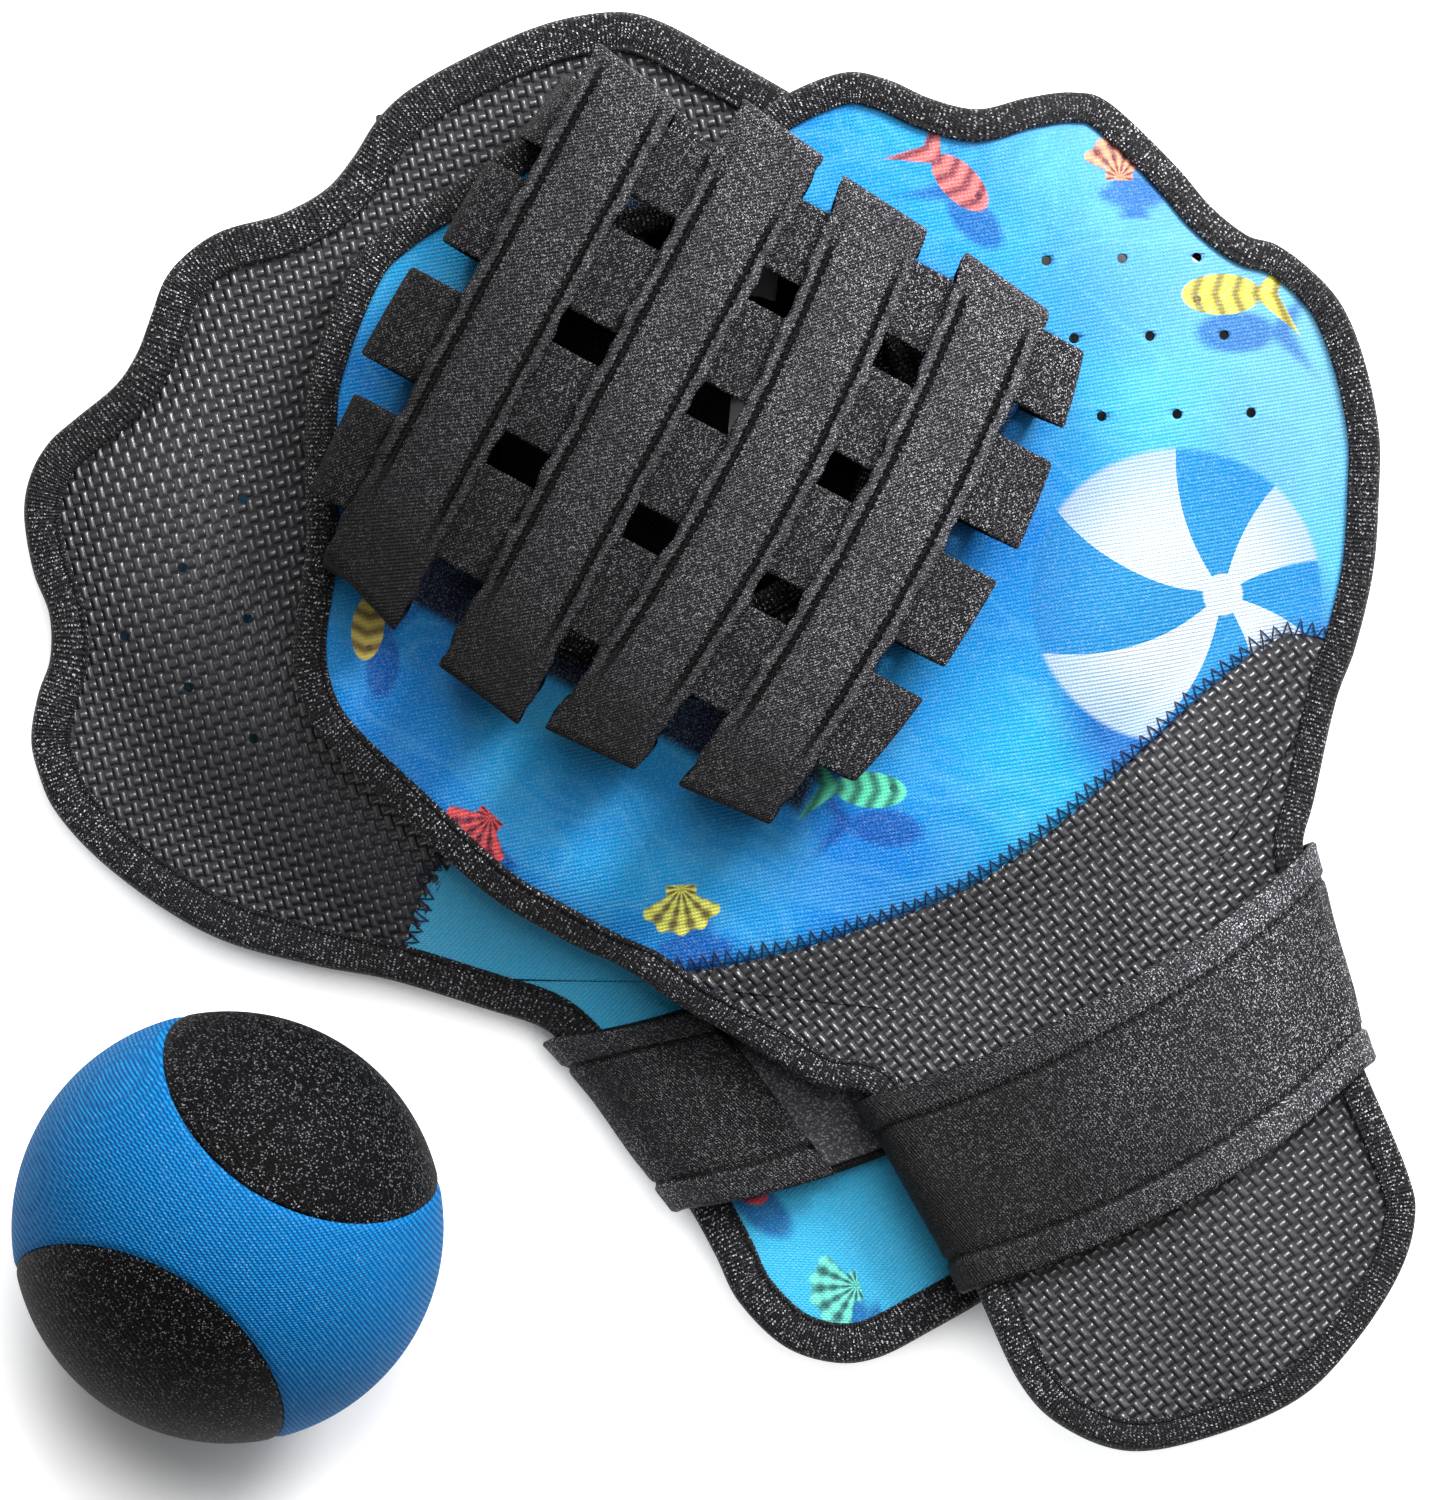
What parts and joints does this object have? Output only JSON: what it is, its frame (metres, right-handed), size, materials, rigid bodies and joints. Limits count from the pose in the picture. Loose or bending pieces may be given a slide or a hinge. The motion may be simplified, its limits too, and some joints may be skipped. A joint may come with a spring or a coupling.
{
  "type": "water ball and mitts set",
  "caption": "Neoprene catching mitts with a scalloped outline, a raised lattice pocket and a wrist band, laid one on the other beside a cloth-covered ball.",
  "frame": {"origin": "centre of the set's bounding box on the floor that the rear mitt's lattice and the ball stand on", "axes": "+X to the right and +Y up as the set is seen from above, +Z up from the floor"},
  "size_m": [0.294, 0.3022, 0.09],
  "materials": {
    "blue_print_neoprene": "matte knit, printed",
    "embossed_black_neoprene": "satin, embossed basket weave",
    "black_binding_tape": "ribbed knit tape",
    "dark_grey_strap_neoprene": "matte knit",
    "charcoal_strap_neoprene": "matte knit",
    "black_stretch_band": "smooth stretch knit",
    "black_loop_fastener": "fuzzy loop pile",
    "black_hook_fastener": "stiff hook tape",
    "blue_ball_cloth": "ribbed stretch knit",
    "black_ball_cloth": "speckled stretch knit",
    "white_core_foam": "smooth foam"
  },
  "bodies": {
    "root": {"front_hand_panel": "blue_print_neoprene", "front_wrist_panel": "embossed_black_neoprene", "front_edge_binding": "black_binding_tape", "front_mouth_binding": "black_binding_tape", "front_wrist_band": "black_stretch_band", "front_loop_patch": "black_loop_fastener", "front_hook_patch": "black_hook_fastener", "front_long_strap_1": "dark_grey_strap_neoprene", "front_cross_strap_1": "charcoal_strap_neoprene", "front_long_strap_2": "dark_grey_strap_neoprene", "front_cross_strap_2": "charcoal_strap_neoprene", "front_long_strap_3": "dark_grey_strap_neoprene", "front_cross_strap_3": "charcoal_strap_neoprene", "front_long_strap_4": "dark_grey_strap_neoprene", "front_cross_strap_4": "charcoal_strap_neoprene", "rear_hand_panel": "blue_print_neoprene", "rear_wrist_panel": "embossed_black_neoprene", "rear_edge_binding": "black_binding_tape", "rear_mouth_binding": "black_binding_tape", "rear_wrist_band": "black_stretch_band", "rear_loop_patch": "black_loop_fastener", "rear_hook_patch": "black_hook_fastener", "rear_long_strap_1": "dark_grey_strap_neoprene", "rear_cross_strap_1": "charcoal_strap_neoprene", "rear_long_strap_2": "dark_grey_strap_neoprene", "rear_cross_strap_2": "charcoal_strap_neoprene", "rear_long_strap_3": "dark_grey_strap_neoprene", "rear_cross_strap_3": "charcoal_strap_neoprene", "rear_long_strap_4": "dark_grey_strap_neoprene", "rear_cross_strap_4": "charcoal_strap_neoprene", "ball_cover_blue": "blue_ball_cloth", "ball_cover_black": "black_ball_cloth", "ball_core": "white_core_foam"}
  },
  "joints": []
}
